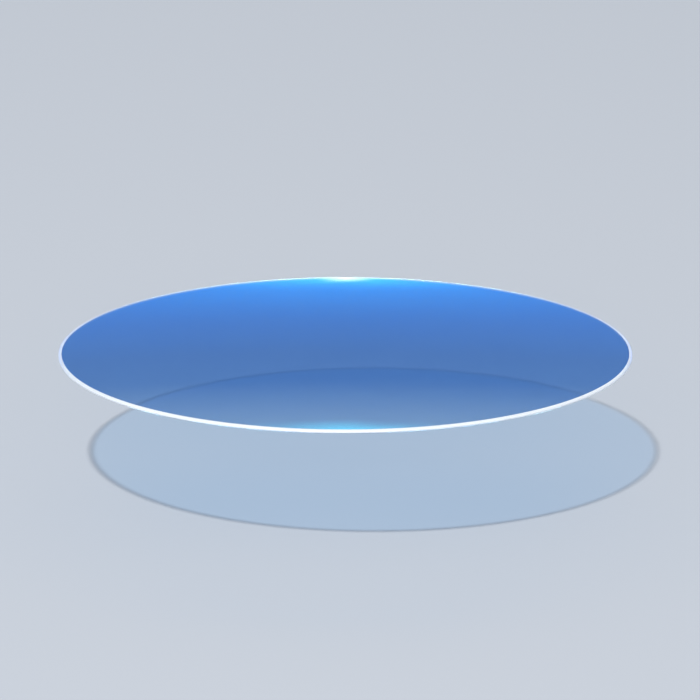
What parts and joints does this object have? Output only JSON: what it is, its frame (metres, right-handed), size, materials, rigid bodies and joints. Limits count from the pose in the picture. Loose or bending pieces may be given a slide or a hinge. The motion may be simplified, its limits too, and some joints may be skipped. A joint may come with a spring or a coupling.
{
  "type": "smartwatch screen protector",
  "caption": "Round flat tempered-glass screen protector with a rounded edge, laminated to an anti-shatter film and clear adhesives that bond it to a watch.",
  "frame": {"origin": "centre of the bonding face, the underside of the silicone adhesive", "axes": "+Z out of the watch, through the film and the glass; X and Y are alike, because the disc is round"},
  "size_m": [0.04, 0.04, 0.0003],
  "materials": {
    "tempered_glass": "polished",
    "optical_adhesive": "gloss",
    "anti_shatter_film": "gloss",
    "silicone_adhesive": "satin"
  },
  "bodies": {
    "root": {"tempered_glass": "tempered_glass", "optical_adhesive": "optical_adhesive", "anti_shatter_film": "anti_shatter_film", "silicone_adhesive": "silicone_adhesive"}
  },
  "joints": []
}
